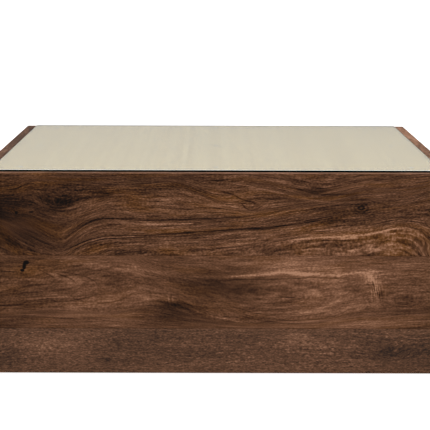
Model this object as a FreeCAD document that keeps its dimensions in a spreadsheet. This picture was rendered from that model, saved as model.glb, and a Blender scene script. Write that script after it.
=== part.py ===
"""Square coffee table: a solid-wood plank carcase with a woven wicker top under a glass plate.

Frame: millimetres, +Z up, the floor at z = 0, the centre of the table on the Z axis, and the
front of the table towards -Y.
"""
import FreeCAD, Part
import math
import os

import Sketcher

Vector = FreeCAD.Vector
UP = Vector(0, 0, 1)
TOLERANCE = 1e-4
doc = FreeCAD.newDocument("WickerCoffeeTable")

# ---------------------------------------------------------------- driving sizes

SIZES = [
    # the carcase of planks
    ("table_width", "1016"),
    ("table_depth", "1016"),
    ("panel_thickness", "22"),
    ("upper_board_height", "176"),
    ("middle_board_height", "158"),
    ("lower_board_height", "98"),
    ("corner_radius", "2"),
    ("top_edge_radius", "1"),
    ("seam_chamfer", "0.8"),
    # the loose splines in the mitres
    ("spline_thickness", "4"),
    ("slot_depth", "6"),
    ("spline_inset", "7"),
    ("spline_stop", "30"),
    ("spline_fit", "0.1"),
    # the frame inside
    ("post_size", "45"),
    ("ledger_thickness", "25"),
    ("ledger_height", "30"),
    ("rail_width", "30"),
    ("rail_height", "45"),
    ("rail_lap", "15"),
    ("rail_spacing", "300"),
    ("rail_fit", "0.2"),
    # the top: plywood, wicker, glass
    ("ply_thickness", "12"),
    ("wicker_thickness", "1.8"),
    ("wicker_gap", "1"),
    ("wicker_edge_radius", "1.5"),
    ("flange_margin", "3"),
    ("glass_thickness", "6"),
    ("glass_rise", "4"),
    ("glass_gap", "4.5"),
    ("glass_corner_radius", "3"),
    ("glass_arris", "1"),
    ("bumper_radius", "5"),
    ("bumper_height", "1"),
    ("bumper_inset", "60"),
    # countersunk screws
    ("screw_radius", "2"),
    ("screw_head_radius", "3.9"),
    ("screw_fit", "0.1"),
    ("screw_point", "4"),
    ("drive_arm", "2.2"),
    ("drive_width", "0.9"),
    ("drive_depth", "1.2"),
    ("panel_bite", "12"),
    ("ply_bite", "8"),
    ("ledger_bite", "10"),
    ("screw_stagger", "8"),
    ("ledger_screw_end", "50"),
    ("ledger_screw_rise", "9"),
    ("ply_screw_end", "120"),
    # staples that hold the wicker under the plywood
    ("staple_crown", "10"),
    ("staple_leg", "7"),
    ("staple_wire", "0.9"),
    ("staple_pitch", "150"),
    # nail-on glides under the posts
    ("foot_height", "4"),
    ("foot_radius", "11"),
    ("foot_edge", "1.2"),
    ("nail_radius", "1.1"),
    ("nail_head_radius", "2.9"),
    ("nail_head_height", "0.9"),
    ("nail_recess", "1.5"),
    ("nail_length", "17"),
    ("nail_point", "2.5"),
    ("nail_fit", "0.05"),
]

sizes = doc.addObject("Spreadsheet::Sheet", "Sizes")
for row, (alias, text) in enumerate(SIZES, start=1):
    sizes.set("A%d" % row, alias)
    sizes.set("B%d" % row, text)
    sizes.setAlias("B%d" % row, alias)

# ---------------------------------------------------------------- levels and lines worked out from them

LEVELS = [
    ("half_width", "Sizes.table_width / 2"),
    ("half_depth", "Sizes.table_depth / 2"),
    ("middle_board_base", "Sizes.foot_height + Sizes.lower_board_height"),
    ("upper_board_base", "Levels.middle_board_base + Sizes.middle_board_height"),
    ("wood_top", "Levels.upper_board_base + Sizes.upper_board_height"),
    ("glass_base", "Levels.wood_top + Sizes.glass_rise - Sizes.glass_thickness"),
    ("wicker_top", "Levels.glass_base - Sizes.bumper_height"),
    ("ply_top", "Levels.wicker_top - Sizes.wicker_thickness"),
    ("ply_base", "Levels.ply_top - Sizes.ply_thickness"),
    ("ledger_top", "Levels.ply_base - Sizes.wicker_thickness"),
    ("ledger_base", "Levels.ledger_top - Sizes.ledger_height"),
    ("lap_base", "Levels.ledger_top - Sizes.rail_lap"),
    ("rail_base", "Levels.ply_base - Sizes.rail_height"),
    ("opening_width", "Sizes.table_width - 2 * Sizes.panel_thickness"),
    ("opening_depth", "Sizes.table_depth - 2 * Sizes.panel_thickness"),
    ("wicker_width", "Levels.opening_width - 2 * Sizes.wicker_gap"),
    ("wicker_depth", "Levels.opening_depth - 2 * Sizes.wicker_gap"),
    ("ply_width", "Levels.wicker_width - 2 * Sizes.wicker_thickness"),
    ("ply_depth", "Levels.wicker_depth - 2 * Sizes.wicker_thickness"),
    ("flange_width", "Sizes.ledger_thickness - Sizes.flange_margin"),
    ("glass_width", "Levels.opening_width - 2 * Sizes.glass_gap"),
    ("glass_depth", "Levels.opening_depth - 2 * Sizes.glass_gap"),
    ("post_inset", "Sizes.panel_thickness + Sizes.post_size / 2"),
    ("ledger_inset", "Sizes.panel_thickness + Sizes.ledger_thickness / 2"),
    ("spline_line", "Sizes.panel_thickness - Sizes.spline_inset"),
    ("hole_radius", "Sizes.screw_radius + Sizes.screw_fit"),
    ("sink_radius", "Sizes.screw_head_radius + Sizes.screw_fit"),
    ("nail_hole_radius", "Sizes.nail_radius + Sizes.nail_fit"),
    ("nail_head_base", "Sizes.nail_recess - Sizes.nail_head_height"),
]

levels = doc.addObject("App::VarSet", "Levels")
for name, expression in LEVELS:
    levels.addProperty("App::PropertyFloat", name, "Levels")
    levels.setExpression(name, expression)
doc.recompute()


def value(expression):
    """The number that an expression on the sheet stands for now."""
    return float(sizes.evalExpression(expression))


# ---------------------------------------------------------------- helpers for sketches and features

def new_body(label):
    body = doc.addObject("PartDesign::Body", label)
    body.Label = label
    return body


def new_sketch(body, name, role, offset="0"):
    """A sketch on one of the body's own origin planes, moved along its normal by offset."""
    sketch = body.newObject("Sketcher::SketchObject", body.Name + "_" + name)
    plane = [feature for feature in body.Origin.OriginFeatures if feature.Role == role][0]
    sketch.AttachmentSupport = [(plane, "")]
    sketch.MapMode = "FlatFace"
    sketch.setExpression("AttachmentOffset.Base.z", offset)
    return sketch


def fix_point(sketch, element, vertex, x, y):
    """Bind one vertex of a sketch to two expressions, measured from the sketch's origin."""
    for kind, expression in (("DistanceX", x), ("DistanceY", y)):
        index = sketch.addConstraint(Sketcher.Constraint(kind, -1, 1, element, vertex, value(expression)))
        sketch.setExpression("Constraints[%d]" % index, expression)


def draw_outline(sketch, corners, rounds=()):
    """Close an outline through corners, pairs of expressions.

    rounds holds (number of the corner where an arc starts, the arc's radius); an arc bulges
    outwards and the corners run anticlockwise.
    """
    radii = dict(rounds)
    points = [Vector(value(x), value(y), 0) for x, y in corners]
    elements = []
    for number, start in enumerate(points):
        end = points[(number + 1) % len(points)]
        if number in radii:
            chord = end - start
            radius = value(radii[number])
            inward = Vector(-chord.y, chord.x, 0).normalize()
            centre = (start + end) * 0.5 + inward * math.sqrt(radius ** 2 - (chord.Length / 2) ** 2)
            from_angle = math.atan2(start.y - centre.y, start.x - centre.x)
            to_angle = math.atan2(end.y - centre.y, end.x - centre.x)
            circle = Part.Circle(centre, UP, radius)
            shape = Part.ArcOfCircle(circle, from_angle, to_angle)
        else:
            shape = Part.LineSegment(start, end)
        elements.append(sketch.addGeometry(shape, False))
    for number, element in enumerate(elements):
        following = elements[(number + 1) % len(elements)]
        sketch.addConstraint(Sketcher.Constraint("Coincident", element, 2, following, 1))
        fix_point(sketch, element, 1, *corners[number])
        if number in radii:
            index = sketch.addConstraint(Sketcher.Constraint("Radius", element, value(radii[number])))
            sketch.setExpression("Constraints[%d]" % index, radii[number])


def draw_circles(sketch, centres, radius):
    for x, y in centres:
        circle = Part.Circle(Vector(value(x), value(y), 0), UP, value(radius))
        element = sketch.addGeometry(circle, False)
        fix_point(sketch, element, 3, x, y)
        index = sketch.addConstraint(Sketcher.Constraint("Radius", element, value(radius)))
        sketch.setExpression("Constraints[%d]" % index, radius)


def rectangle(width, height, low="0"):
    """Corners of a rectangle centred on x = 0, its foot at low."""
    right = "(%s) / 2" % width
    left = "-(%s) / 2" % width
    top = "%s + (%s)" % (low, height)
    return [(left, low), (right, low), (right, top), (left, top)]


def centred(width, height):
    """Corners of a rectangle centred on the sketch's origin."""
    return rectangle(width, height, low="-(%s) / 2" % height)


def pad(body, sketch, length, backwards=False, both_ways=False):
    feature = body.newObject("PartDesign::Pad", sketch.Name + "_pad")
    feature.Profile = sketch
    feature.Reversed = backwards
    feature.Midplane = both_ways
    feature.setExpression("Length", length)
    doc.recompute()
    return feature


def turn_about_z(body, corners):
    """Revolve an outline drawn on the XZ plane about the body's own Z axis."""
    profile = new_sketch(body, "profile", "XZ_Plane")
    draw_outline(profile, corners)
    feature = body.newObject("PartDesign::Revolution", body.Name + "_turned")
    feature.Profile = profile
    feature.ReferenceAxis = (profile, ["V_Axis"])
    feature.Angle = 360
    doc.recompute()


def check_cut(body, feature, before):
    """A cut that points away from the solid removes nothing, so the volume has to fall."""
    doc.recompute()
    if feature.Shape.isNull() or feature.Shape.Volume > before - TOLERANCE:
        raise RuntimeError("%s: %s cuts nothing" % (body.Label, feature.Name))


def pocket(body, sketch, length, backwards=False):
    before = body.Shape.Volume
    feature = body.newObject("PartDesign::Pocket", sketch.Name + "_pocket")
    feature.Profile = sketch
    feature.Reversed = backwards
    feature.setExpression("Length", length)
    check_cut(body, feature, before)


def countersunk_holes(body, sketch, backwards=False):
    """Screw holes right through the piece, each with a sink for the head at the sketch's plane."""
    doc.recompute()
    before = body.Shape.Volume
    feature = body.newObject("PartDesign::Hole", sketch.Name + "_hole")
    feature.Profile = sketch
    feature.ThreadType = "None"
    feature.DepthType = "ThroughAll"
    feature.HoleCutType = "Countersink"
    feature.HoleCutCustomValues = True
    feature.HoleCutCountersinkAngle = 90
    feature.Reversed = backwards
    feature.setExpression("Diameter", "2 * Levels.hole_radius")
    feature.setExpression("HoleCutDiameter", "2 * Levels.sink_radius")
    check_cut(body, feature, before)


def dress(body, kind, size_name, size, wanted):
    """A fillet or a chamfer on the edges that wanted(edge) picks."""
    doc.recompute()
    base = body.Tip
    edges = ["Edge%d" % (i + 1) for i, edge in enumerate(base.Shape.Edges) if wanted(edge)]
    if not edges:
        raise RuntimeError("%s: no edge to dress" % body.Label)
    feature = body.newObject("PartDesign::" + kind, "%s_%s%d" % (body.Name, kind, len(body.Group)))
    feature.Base = (base, edges)
    feature.setExpression(size_name, size)
    doc.recompute()


def fillet(body, size, wanted):
    dress(body, "Fillet", "Radius", size, wanted)


def chamfer(body, size, wanted):
    dress(body, "Chamfer", "Size", size, wanted)


def on_plane(edge, axis, level):
    """Whether every point of the edge lies at this level along the axis."""
    box = edge.BoundBox
    low, high = getattr(box, axis + "Min"), getattr(box, axis + "Max")
    return abs(low - level) < TOLERANCE and abs(high - level) < TOLERANCE


def place(piece, x="0", y="0", z="0", turn=0):
    """Stand a piece at a point of the table, turned about Z by a number of degrees."""
    piece.Placement = FreeCAD.Placement(Vector(0, 0, 0), FreeCAD.Rotation(UP, turn))
    for axis, expression in (("x", x), ("y", y), ("z", z)):
        piece.setExpression("Placement.Base." + axis, expression)


kept = []


def keep(piece):
    """Put the piece on the list of what the table is made of."""
    kept.append(piece)
    return piece


def keep_group(label, solids):
    """Identical small pieces in one node, each a solid of its own."""
    group = doc.addObject("Part::Feature", label)
    group.Label = label
    group.Shape = Part.makeCompound(solids)
    return keep(group)


def placed_copy(master, position, rotation=FreeCAD.Rotation()):
    solid = master.Shape.copy()
    solid.Placement = FreeCAD.Placement(position, rotation)
    return solid


# The four sides: where a side's outer face stands, its turn and its length. Seen in its own
# frame, a side runs along x with its outer face at y = 0 and the inside of the table at y > 0.
SIDES = {
    "front": {"x": "0", "y": "-Levels.half_depth", "turn": 0, "length": "Sizes.table_width"},
    "right": {"x": "Levels.half_width", "y": "0", "turn": 90, "length": "Sizes.table_depth"},
    "back": {"x": "0", "y": "Levels.half_depth", "turn": 180, "length": "Sizes.table_width"},
    "left": {"x": "-Levels.half_width", "y": "0", "turn": 270, "length": "Sizes.table_depth"},
}

# The four corners, each with the turn that brings the front right one to it.
CORNERS = {
    "front_right": {"x": 1, "y": -1, "turn": 0},
    "back_right": {"x": 1, "y": 1, "turn": 90},
    "back_left": {"x": -1, "y": 1, "turn": 180},
    "front_left": {"x": -1, "y": -1, "turn": 270},
}

BOARDS = {
    "lower": {"base": "Sizes.foot_height", "height": "Sizes.lower_board_height"},
    "middle": {"base": "Levels.middle_board_base", "height": "Sizes.middle_board_height"},
    "upper": {"base": "Levels.upper_board_base", "height": "Sizes.upper_board_height"},
}


def corner_point(corner, inset):
    """Expressions for the point that lies inset from both outer faces at a corner."""
    signs = CORNERS[corner]
    x = "%d * (Levels.half_width - (%s))" % (signs["x"], inset)
    y = "%d * (Levels.half_depth - (%s))" % (signs["y"], inset)
    return x, y


def side_point(side, along, inset, level):
    """A point of the table, given along a side, inwards from its outer face and up."""
    facts = SIDES[side]
    turn = FreeCAD.Rotation(UP, facts["turn"])
    face = Vector(value(facts["x"]), value(facts["y"]), 0)
    return face + turn.multVec(Vector(along, inset, level))


# ---------------------------------------------------------------- the planks of the carcase

def ledger_half(side):
    """Half the length of a ledger strip, which runs between two posts."""
    return "(%s / 2 - Sizes.panel_thickness - Sizes.post_size)" % SIDES[side]["length"]


def ledger_screw_places(side):
    half = ledger_half(side)
    end = "(%s - Sizes.ledger_screw_end)" % half
    return ["-" + end, "-%s / 4" % half, "%s / 4" % half, end]


def draw_board_outline(sketch, half):
    """The plank seen from above: mitred ends, each with its half of a rounded corner."""
    ease = "Sizes.corner_radius * (1 - sqrt(2) / 2)"
    inner = "(%s - Sizes.panel_thickness)" % half
    corners = [
        ("-%s + Sizes.corner_radius" % half, "0"),
        ("%s - Sizes.corner_radius" % half, "0"),
        ("%s - %s" % (half, ease), ease),
        (inner, "Sizes.panel_thickness"),
        ("-" + inner, "Sizes.panel_thickness"),
        ("-%s + %s" % (half, ease), ease),
    ]
    draw_outline(sketch, corners, rounds=[(1, "Sizes.corner_radius"), (5, "Sizes.corner_radius")])


def draw_spline_slots(sketch, half):
    """The slots for the loose splines, square to the mitre at both ends of the plank.

    A slot's corners are its reach into the plank or past its end, and its half width to either
    side; both run at 45 degrees, so each is divided by the root of two for x and for y.
    """
    reach = "- Sizes.slot_depth / sqrt(2)"
    past_end = "+ Sizes.slot_depth / 4"
    wide = "(Sizes.spline_thickness / 2 + Sizes.spline_fit) / sqrt(2)"
    corners = [(reach, "-", "+"), (past_end, "-", "+"), (past_end, "+", "-"), (reach, "+", "-")]
    for hand in (1, -1):
        slot = []
        for run, x_sign, y_sign in corners:
            x = "%d * (%s - Levels.spline_line %s %s %s)" % (hand, half, run, x_sign, wide)
            y = "Levels.spline_line %s %s %s" % (run, y_sign, wide)
            slot.append((x, y))
        draw_outline(sketch, slot if hand > 0 else slot[::-1])


def make_board(side, level):
    facts = SIDES[side]
    height = BOARDS[level]["height"]
    half = "(%s / 2)" % facts["length"]
    body = new_body("%s_%s_board" % (side, level))

    outline = new_sketch(body, "outline", "XY_Plane")
    draw_board_outline(outline, half)
    pad(body, outline, height)

    slots = new_sketch(body, "slots", "XY_Plane")
    draw_spline_slots(slots, half)
    stop = " - Sizes.spline_stop" if level == "upper" else ""
    pocket(body, slots, height + stop, backwards=True)

    # Pilot holes from the inner face for the screws through the posts.
    post_x = "(%s - Levels.post_inset)" % half
    centre = "%s / 2" % height
    pilots = [(post_x, centre + " - Sizes.screw_stagger"), ("-" + post_x, centre + " + Sizes.screw_stagger")]
    if level == "upper":
        # and for the screws through the ledger strip.
        screw_level = "Levels.ledger_base + Sizes.ledger_screw_rise - Levels.upper_board_base"
        pilots += [(x, screw_level) for x in ledger_screw_places(side)]
    holes = new_sketch(body, "pilots", "XZ_Plane", offset="-Sizes.panel_thickness")
    draw_circles(holes, pilots, "Levels.hole_radius")
    pocket(body, holes, "Sizes.panel_bite + Sizes.screw_fit", backwards=True)

    def outer_edge_at(z):
        return lambda edge: on_plane(edge, "Z", z) and edge.BoundBox.YMin < TOLERANCE

    if level == "upper":
        fillet(body, "Sizes.top_edge_radius", outer_edge_at(value(height)))
    else:
        chamfer(body, "Sizes.seam_chamfer", outer_edge_at(value(height)))
    chamfer(body, "Sizes.seam_chamfer", outer_edge_at(0))
    place(body, facts["x"], facts["y"], BOARDS[level]["base"], facts["turn"])
    return keep(body)


def make_spline(corner):
    """A loose strip in the slots of a mitre, stopped short of the top edge."""
    body = new_body("%s_mitre_spline" % corner)
    section = new_sketch(body, "section", "XY_Plane")
    draw_outline(section, centred("2 * (Sizes.slot_depth - Sizes.spline_fit)", "Sizes.spline_thickness"))
    pad(body, section, "Levels.wood_top - Sizes.foot_height - Sizes.spline_stop - Sizes.spline_fit")
    x, y = corner_point(corner, "Levels.spline_line")
    place(body, x, y, "Sizes.foot_height", CORNERS[corner]["turn"] + 45)
    return keep(body)


# ---------------------------------------------------------------- the frame inside

def post_screw_levels(sign):
    """Heights above the post's foot of the screws through it, one into each plank."""
    return [
        "%s - Sizes.foot_height + %s / 2 %s Sizes.screw_stagger" % (board["base"], board["height"], sign)
        for board in BOARDS.values()
    ]


def make_post(corner):
    body = new_body("%s_post" % corner)
    section = new_sketch(body, "section", "XY_Plane")
    draw_outline(section, centred("Sizes.post_size", "Sizes.post_size"))
    pad(body, section, "Levels.ledger_top - Sizes.foot_height")

    near = new_sketch(body, "side_a", "XZ_Plane", offset="-Sizes.post_size / 2")
    draw_circles(near, [("0", level) for level in post_screw_levels("-")], "Levels.hole_radius")
    countersunk_holes(body, near, backwards=True)

    far = new_sketch(body, "side_b", "YZ_Plane", offset="-Sizes.post_size / 2")
    draw_circles(far, [("0", level) for level in post_screw_levels("+")], "Levels.hole_radius")
    countersunk_holes(body, far, backwards=True)

    nail_hole = new_sketch(body, "nail_hole", "XY_Plane")
    draw_circles(nail_hole, [("0", "0")], "Levels.nail_hole_radius")
    pocket(body, nail_hole, "Levels.nail_head_base + Sizes.nail_head_height + Sizes.nail_length"
                            " - Sizes.foot_height + Sizes.nail_fit", backwards=True)
    x, y = corner_point(corner, "Levels.post_inset")
    place(body, x, y, "Sizes.foot_height", CORNERS[corner]["turn"])
    return keep(body)


def make_ledger(side):
    """A strip screwed along the inside of a side, notched at front and back for the two rails."""
    body = new_body("%s_ledger" % side)
    half = ledger_half(side)
    low, high = "0", "Sizes.ledger_height"
    corners = [("-" + half, low), (half, low), (half, high)]
    if side in ("front", "back"):
        notch_floor = "Sizes.ledger_height - Sizes.rail_lap"
        notch_half = "(Sizes.rail_width / 2 + Sizes.rail_fit)"
        for sign in ("", "-"):
            middle = "%sSizes.rail_spacing / 2" % sign
            corners += [
                ("%s + %s" % (middle, notch_half), high),
                ("%s + %s" % (middle, notch_half), notch_floor),
                ("%s - %s" % (middle, notch_half), notch_floor),
                ("%s - %s" % (middle, notch_half), high),
            ]
    corners.append(("-" + half, high))
    elevation = new_sketch(body, "elevation", "XZ_Plane", offset="-Sizes.panel_thickness")
    draw_outline(elevation, corners)
    pad(body, elevation, "Sizes.ledger_thickness", backwards=True)

    inner_face = "-(Sizes.panel_thickness + Sizes.ledger_thickness)"
    side_screws = new_sketch(body, "side_screws", "XZ_Plane", offset=inner_face)
    centres = [(x, "Sizes.ledger_screw_rise") for x in ledger_screw_places(side)]
    draw_circles(side_screws, centres, "Levels.hole_radius")
    countersunk_holes(body, side_screws, backwards=True)

    ply_screws = new_sketch(body, "ply_screws", "XY_Plane")
    centres = [(x, "Levels.ledger_inset") for x in ply_screw_places(side)]
    draw_circles(ply_screws, centres, "Levels.hole_radius")
    countersunk_holes(body, ply_screws, backwards=True)

    if side in ("front", "back"):
        lap_level = "Sizes.ledger_height - Sizes.rail_lap"
        rail_pilots = new_sketch(body, "rail_pilots", "XY_Plane", offset=lap_level)
        centres = [("%sSizes.rail_spacing / 2" % sign, "Levels.ledger_inset") for sign in ("", "-")]
        draw_circles(rail_pilots, centres, "Levels.hole_radius")
        pocket(body, rail_pilots, "Sizes.ledger_bite + Sizes.screw_fit")
    facts = SIDES[side]
    place(body, facts["x"], facts["y"], "Levels.ledger_base", facts["turn"])
    return keep(body)


def ply_screw_places(side):
    end = "(%s - Sizes.ply_screw_end)" % ledger_half(side)
    return ["-" + end, end]


def make_rail(hand, sign):
    """A bearer from front to back, half-lapped over the ledgers, level with the plywood's underside."""
    body = new_body("%s_rail" % hand)
    end = "(Levels.half_depth - Sizes.panel_thickness - Sizes.rail_fit)"
    shoulder = "(Levels.half_depth - Sizes.panel_thickness - Sizes.ledger_thickness - Sizes.rail_fit)"
    drop = "Levels.rail_base"
    corners = [
        ("-" + end, "Levels.lap_base - " + drop),
        ("-" + shoulder, "Levels.lap_base - " + drop),
        ("-" + shoulder, "0"),
        (shoulder, "0"),
        (shoulder, "Levels.lap_base - " + drop),
        (end, "Levels.lap_base - " + drop),
        (end, "Levels.ledger_top - " + drop),
        (shoulder, "Levels.ledger_top - " + drop),
        (shoulder, "Sizes.rail_height"),
        ("-" + shoulder, "Sizes.rail_height"),
        ("-" + shoulder, "Levels.ledger_top - " + drop),
        ("-" + end, "Levels.ledger_top - " + drop),
    ]
    elevation = new_sketch(body, "elevation", "YZ_Plane")
    draw_outline(elevation, corners)
    pad(body, elevation, "Sizes.rail_width", both_ways=True)

    lap_screws = new_sketch(body, "lap_screws", "XY_Plane", offset="Levels.ledger_top - " + drop)
    across = "(Levels.half_depth - Levels.ledger_inset)"
    draw_circles(lap_screws, [("0", across), ("0", "-" + across)], "Levels.hole_radius")
    countersunk_holes(body, lap_screws)
    place(body, "%sSizes.rail_spacing / 2" % sign, "0", drop)
    return keep(body)


# ---------------------------------------------------------------- the top

def ply_screw_centres():
    """The screws up into the plywood, seen from above: all four sides, as pairs of expressions."""
    centres = []
    for side, facts in SIDES.items():
        for along in ply_screw_places(side):
            inward = "Levels.ledger_inset"
            if side == "front":
                centres.append((along, "%s + %s" % (facts["y"], inward)))
            elif side == "back":
                centres.append((along, "%s - %s" % (facts["y"], inward)))
            elif side == "right":
                centres.append(("%s - %s" % (facts["x"], inward), along))
            else:
                centres.append(("%s + %s" % (facts["x"], inward), along))
    return centres


def make_plywood():
    body = new_body("plywood_top")
    plan = new_sketch(body, "plan", "XY_Plane")
    draw_outline(plan, centred("Levels.ply_width", "Levels.ply_depth"))
    pad(body, plan, "Sizes.ply_thickness")
    pilots = new_sketch(body, "pilots", "XY_Plane")
    draw_circles(pilots, ply_screw_centres(), "Levels.hole_radius")
    pocket(body, pilots, "Sizes.ply_bite + Sizes.screw_fit", backwards=True)
    place(body, z="Levels.ply_base")
    return keep(body)


def make_wicker():
    """The woven sheet: flat on the plywood, wrapped over its edges and turned under them."""
    body = new_body("wicker_sheet")
    thickness = "Sizes.wicker_thickness"
    plan = new_sketch(body, "plan", "XY_Plane")
    draw_outline(plan, centred("Levels.wicker_width", "Levels.wicker_depth"))
    pad(body, plan, "Sizes.ply_thickness + 2 * " + thickness)

    def top_edge(edge):
        return on_plane(edge, "Z", value("Sizes.ply_thickness + 2 * " + thickness))

    fillet(body, "Sizes.wicker_edge_radius", top_edge)

    room = new_sketch(body, "room_for_plywood", "XY_Plane", offset=thickness)
    draw_outline(room, centred("Levels.ply_width", "Levels.ply_depth"))
    pocket(body, room, "Sizes.ply_thickness", backwards=True)

    mouth = new_sketch(body, "mouth", "XY_Plane")
    width = "Levels.wicker_width - 2 * Levels.flange_width"
    depth = "Levels.wicker_depth - 2 * Levels.flange_width"
    draw_outline(mouth, centred(width, depth))
    pocket(body, mouth, thickness, backwards=True)

    holes = new_sketch(body, "screw_holes", "XY_Plane")
    draw_circles(holes, ply_screw_centres(), "Levels.hole_radius")
    pocket(body, holes, thickness, backwards=True)
    place(body, z="Levels.ledger_top")
    return keep(body)


def make_glass():
    body = new_body("glass_top")
    plan = new_sketch(body, "plan", "XY_Plane")
    draw_outline(plan, centred("Levels.glass_width", "Levels.glass_depth"))
    pad(body, plan, "Sizes.glass_thickness")

    def upright(edge):
        return edge.BoundBox.ZLength > value("Sizes.glass_thickness") / 2

    def rim(edge):
        return on_plane(edge, "Z", 0) or on_plane(edge, "Z", value("Sizes.glass_thickness"))

    fillet(body, "Sizes.glass_corner_radius", upright)
    chamfer(body, "Sizes.glass_arris", rim)
    place(body, z="Levels.glass_base")
    return keep(body)


def make_bumpers():
    """Clear pads stuck under the glass in rows of three."""
    master = doc.addObject("Part::Cylinder", "bumper_master")
    master.setExpression("Radius", "Sizes.bumper_radius")
    master.setExpression("Height", "Sizes.bumper_height")
    doc.recompute()
    reach_x = value("Levels.glass_width / 2 - Sizes.bumper_inset")
    reach_y = value("Levels.glass_depth / 2 - Sizes.bumper_inset")
    level = value("Levels.wicker_top")
    spots = [Vector(i * reach_x, j * reach_y, level) for j in (-1, 0, 1) for i in (-1, 0, 1)]
    return keep_group("glass_bumpers", [placed_copy(master, spot) for spot in spots])


# ---------------------------------------------------------------- fasteners

def make_screw_master(name, length):
    """A countersunk screw: its head's face at z = 0, its point down at -length."""
    body = new_body(name)
    cone = "(Sizes.screw_head_radius - Sizes.screw_radius)"
    corners = [
        ("0", "-(%s)" % length),
        ("Sizes.screw_radius", "-(%s) + Sizes.screw_point" % length),
        ("Sizes.screw_radius", "-" + cone),
        ("Sizes.screw_head_radius", "0"),
        ("0", "0"),
    ]
    turn_about_z(body, corners)

    arm, edge = "Sizes.drive_arm", "Sizes.drive_width / 2"
    cross = [
        (edge, "-" + arm), (edge, "-" + edge), (arm, "-" + edge), (arm, edge),
        (edge, edge), (edge, arm), ("-" + edge, arm), ("-" + edge, edge),
        ("-" + arm, edge), ("-" + arm, "-" + edge), ("-" + edge, "-" + edge), ("-" + edge, "-" + arm),
    ]
    drive = new_sketch(body, "drive", "XY_Plane")
    draw_outline(drive, cross)
    pocket(body, drive, "Sizes.drive_depth")
    return body


def facing(direction):
    """The turn that sends a screw's point, which lies down -Z, in this direction."""
    return FreeCAD.Rotation(-UP, direction)


def make_post_screws():
    """Through the posts into the planks: one per plank on both outer faces of every post."""
    master = make_screw_master("post_screw_master", "Sizes.post_size + Sizes.panel_bite")
    solids = []
    for corner, facts in CORNERS.items():
        turn = FreeCAD.Rotation(UP, facts["turn"])
        x, y = corner_point(corner, "Levels.post_inset")
        foot = Vector(value(x), value(y), value("Sizes.foot_height"))
        half = value("Sizes.post_size") / 2
        for level in post_screw_levels("-"):
            head = foot + turn.multVec(Vector(0, half, value(level)))
            solids.append(placed_copy(master, head, facing(turn.multVec(Vector(0, -1, 0)))))
        for level in post_screw_levels("+"):
            head = foot + turn.multVec(Vector(-half, 0, value(level)))
            solids.append(placed_copy(master, head, facing(turn.multVec(Vector(1, 0, 0)))))
    return keep_group("post_screws", solids)


def make_ledger_screws():
    """Through the ledger strips into the upper planks."""
    master = make_screw_master("ledger_screw_master", "Sizes.ledger_thickness + Sizes.panel_bite")
    inset = value("Sizes.panel_thickness + Sizes.ledger_thickness")
    level = value("Levels.ledger_base + Sizes.ledger_screw_rise")
    solids = []
    for side, facts in SIDES.items():
        outward = FreeCAD.Rotation(UP, facts["turn"]).multVec(Vector(0, -1, 0))
        for along in ledger_screw_places(side):
            head = side_point(side, value(along), inset, level)
            solids.append(placed_copy(master, head, facing(outward)))
    return keep_group("ledger_screws", solids)


def make_ply_screws():
    """Up through the ledger strips and the turned-under wicker into the plywood."""
    length = "Sizes.ledger_height + Sizes.wicker_thickness + Sizes.ply_bite"
    master = make_screw_master("ply_screw_master", length)
    inset = value("Levels.ledger_inset")
    level = value("Levels.ledger_base")
    solids = []
    for side in SIDES:
        for along in ply_screw_places(side):
            head = side_point(side, value(along), inset, level)
            solids.append(placed_copy(master, head, facing(UP)))
    return keep_group("plywood_screws", solids)


def make_rail_screws():
    """Down through the laps of the rails into the ledgers at front and back."""
    master = make_screw_master("rail_screw_master", "Sizes.rail_lap + Sizes.ledger_bite")
    half = value("Sizes.rail_spacing") / 2
    inset = value("Levels.ledger_inset")
    level = value("Levels.ledger_top")
    spots = [side_point(side, along, inset, level) for side in ("front", "back") for along in (-half, half)]
    return keep_group("rail_screws", [placed_copy(master, spot) for spot in spots])


def make_staples():
    """Staples through the turned-under wicker into the plywood's underside, along all four sides."""
    wire = value("Sizes.staple_wire")
    crown = value("Sizes.staple_crown")
    leg = value("Sizes.staple_leg")
    bar = Part.makeBox(crown, wire, wire, Vector(-crown / 2, -wire / 2, 0))
    legs = [Part.makeBox(wire, wire, leg, Vector(x, -wire / 2, 0)) for x in (-crown / 2, crown / 2 - wire)]
    staple = bar.fuse(legs).removeSplitter()
    inset = value("Sizes.panel_thickness + Sizes.wicker_gap + Levels.flange_width / 2")
    solids = []
    for side, facts in SIDES.items():
        reach = value(facts["length"]) / 2 - inset - crown
        count = int(reach // value("Sizes.staple_pitch"))
        for step in range(-count, count + 1):
            spot = side_point(side, step * value("Sizes.staple_pitch"), inset, value("Levels.ledger_top"))
            solid = staple.copy()
            solid.Placement = FreeCAD.Placement(spot, FreeCAD.Rotation(UP, facts["turn"]))
            solids.append(solid)
    return keep_group("wicker_staples", solids)


# ---------------------------------------------------------------- the glides

def make_glide(corner):
    """A nylon button under a post, with a hollow for the head of its nail."""
    body = new_body("%s_glide" % corner)
    corners = [
        ("Sizes.nail_head_radius + Sizes.nail_fit", "0"),
        ("Sizes.foot_radius - Sizes.foot_edge", "0"),
        ("Sizes.foot_radius", "Sizes.foot_edge"),
        ("Sizes.foot_radius", "Sizes.foot_height"),
        ("Levels.nail_hole_radius", "Sizes.foot_height"),
        ("Levels.nail_hole_radius", "Sizes.nail_recess"),
        ("Sizes.nail_head_radius + Sizes.nail_fit", "Sizes.nail_recess"),
    ]
    turn_about_z(body, corners)
    x, y = corner_point(corner, "Levels.post_inset")
    place(body, x, y)
    return keep(body)


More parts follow.
